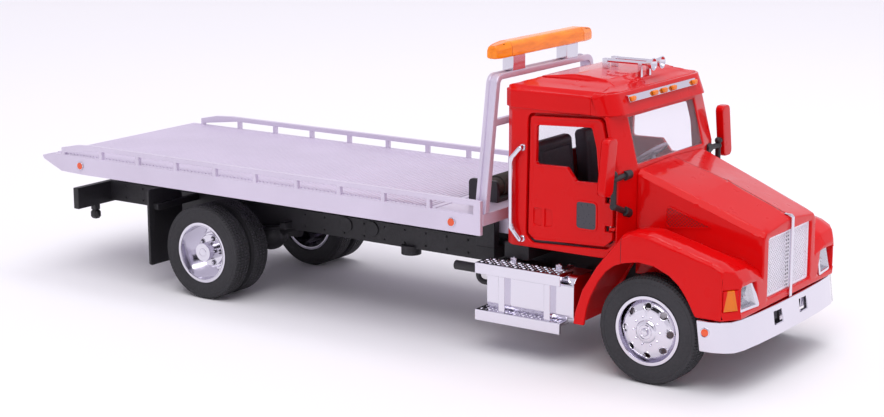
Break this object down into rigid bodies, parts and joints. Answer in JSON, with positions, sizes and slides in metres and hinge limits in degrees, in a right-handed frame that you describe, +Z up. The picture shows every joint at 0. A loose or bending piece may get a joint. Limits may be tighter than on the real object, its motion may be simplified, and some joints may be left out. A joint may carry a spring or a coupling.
{
  "type": "toy flatbed tow truck",
  "caption": "Die-cast toy flatbed tow truck with a tilting, sliding slotted-rail bed, headache rack with amber light bar, opening cab doors and free-rolling twin rear wheels.",
  "frame": {"origin": "on the ground under the middle of the truck's box", "axes": "+X towards the front bumper, +Y towards the truck's left side, +Z up"},
  "size_m": [0.2794, 0.0832, 0.0965],
  "materials": {
    "red_paint": "gloss enamel",
    "silver_plastic": "satin silver",
    "chrome_trim": "plated",
    "black_plastic": "matt",
    "tyre_rubber": "matt",
    "amber_plastic": "translucent",
    "red_plastic": "gloss",
    "clear_plastic": "clear",
    "steel_pins": "plain"
  },
  "bodies": {
    "chassis": {"chassis_frame": "black_plastic", "pivot_pin": "steel_pins", "bed_rests": "black_plastic", "rear_springs": "black_plastic", "driveline": "black_plastic", "rear_bar": "black_plastic", "mud_flaps": "black_plastic", "cab_shell": "red_paint", "door_pins": "steel_pins", "glazing": "clear_plastic", "cab_floor": "black_plastic", "seats": "black_plastic", "dashboard": "black_plastic", "steering_wheel": "black_plastic", "hood_and_fenders": "red_paint", "grille": "chrome_trim", "grille_spine": "chrome_trim", "headlamps": "chrome_trim", "turn_signals": "amber_plastic", "bumper": "chrome_trim", "sun_visor": "red_paint", "light_strip": "chrome_trim", "clearance_lamps": "amber_plastic", "air_horns": "chrome_trim", "mirror_shells": "red_paint", "mirror_arms": "black_plastic", "grab_handles": "chrome_trim", "step_tank_left": "chrome_trim", "step_tank_right": "chrome_trim", "tail_pipe": "black_plastic", "battery_boxes": "black_plastic"},
    "front_wheels": {"front_axle_pin": "steel_pins", "front_rim_left": "chrome_trim", "front_rim_right": "chrome_trim", "front_tyre_left": "tyre_rubber", "front_tyre_right": "tyre_rubber"},
    "rear_wheels": {"rear_axle_pin": "steel_pins", "rear_rim_left": "chrome_trim", "rear_rim_right": "chrome_trim", "rear_outer_tyre_left": "tyre_rubber", "rear_outer_tyre_right": "tyre_rubber", "rear_inner_tyre_left": "tyre_rubber", "rear_inner_tyre_right": "tyre_rubber"},
    "door_left": {"door_left": "red_paint"},
    "door_right": {"door_right": "red_paint"},
    "subframe": {"tilt_frame": "black_plastic"},
    "bed": {"bed_deck": "silver_plastic", "bed_sills": "silver_plastic", "bed_side_left": "silver_plastic", "bed_side_right": "silver_plastic", "bed_markers": "red_plastic", "headache_rack": "silver_plastic", "light_bar": "amber_plastic", "light_bar_posts": "chrome_trim", "winch": "black_plastic"}
  },
  "joints": [
    {"name": "front_wheels_roll", "type": "hinge", "parent": "chassis", "child": "front_wheels", "pos_m": [0.1098, 0, 0.0164], "axis": [0, 1, 0], "continuous": true},
    {"name": "rear_wheels_roll", "type": "hinge", "parent": "chassis", "child": "rear_wheels", "pos_m": [-0.0645, 0, 0.0164], "axis": [0, 1, 0], "continuous": true},
    {"name": "door_right_open", "type": "hinge", "parent": "chassis", "child": "door_right", "pos_m": [0.093, -0.0298, 0.0482], "axis": [0, 0, 1], "range_deg": [0, 62]},
    {"name": "door_left_open", "type": "hinge", "parent": "chassis", "child": "door_left", "pos_m": [0.093, 0.0298, 0.0482], "axis": [0, 0, -1], "range_deg": [0, 62]},
    {"name": "bed_tilt", "type": "hinge", "parent": "chassis", "child": "subframe", "pos_m": [-0.1275, 0, 0.0337], "axis": [0, -1, 0], "range_deg": [0, 24]},
    {"name": "bed_slide", "type": "slide", "parent": "subframe", "child": "bed", "axis": [-1, 0, 0], "range_m": [0, 0.08]}
  ]
}
